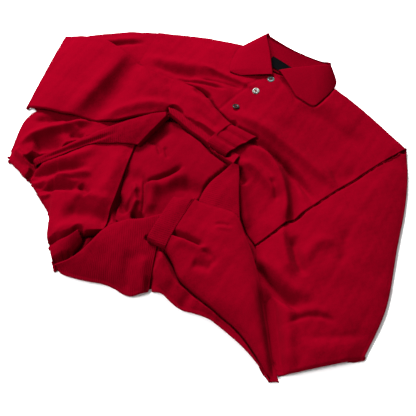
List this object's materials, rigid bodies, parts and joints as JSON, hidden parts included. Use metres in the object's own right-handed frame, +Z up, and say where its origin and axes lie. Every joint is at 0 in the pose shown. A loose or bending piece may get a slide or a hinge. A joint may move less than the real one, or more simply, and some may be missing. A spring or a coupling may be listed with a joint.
{
  "type": "cashmere polo sweater, dropped in a heap",
  "caption": "Long-sleeved knitted pullover with a shirt collar and a buttoned placket, lying bunched on a flat surface with both forearms folded back.",
  "frame": {"origin": "middle of the footprint, on the surface it lies on", "axes": "+Z up; +X to the wearer's left; +Y towards the collar side of the heap"},
  "size_m": [0.6716, 0.6642, 0.0542],
  "materials": {
    "knit": "soft napped plain knit",
    "rib": "fine rib knit",
    "inside": "plain knit, wrong side",
    "button": "polished grey shell",
    "label": "plain black satin weave"
  },
  "bodies": {
    "root": {"cuff_left": "rib", "cuff_right": "rib", "sleeve_left_forearm": "knit", "sleeve_right_forearm": "knit", "collar": "rib", "collar_stand": "inside", "hem_rib_front": "rib", "hem_rib_near": "rib", "hem_rib_side": "rib", "front_panel": "knit", "sleeve_left_upper_arm": "knit", "hem_rib_far": "rib", "hem_rib_loop": "rib", "body_side_low": "knit", "body_side_far": "knit", "back_panel_edge": "knit", "back_panel_inside": "inside", "sleeve_right_upper_arm": "knit", "placket": "rib", "button_1": "button", "button_2": "button", "button_3": "button", "neck_label": "label", "hidden_layers": "knit"}
  },
  "joints": []
}
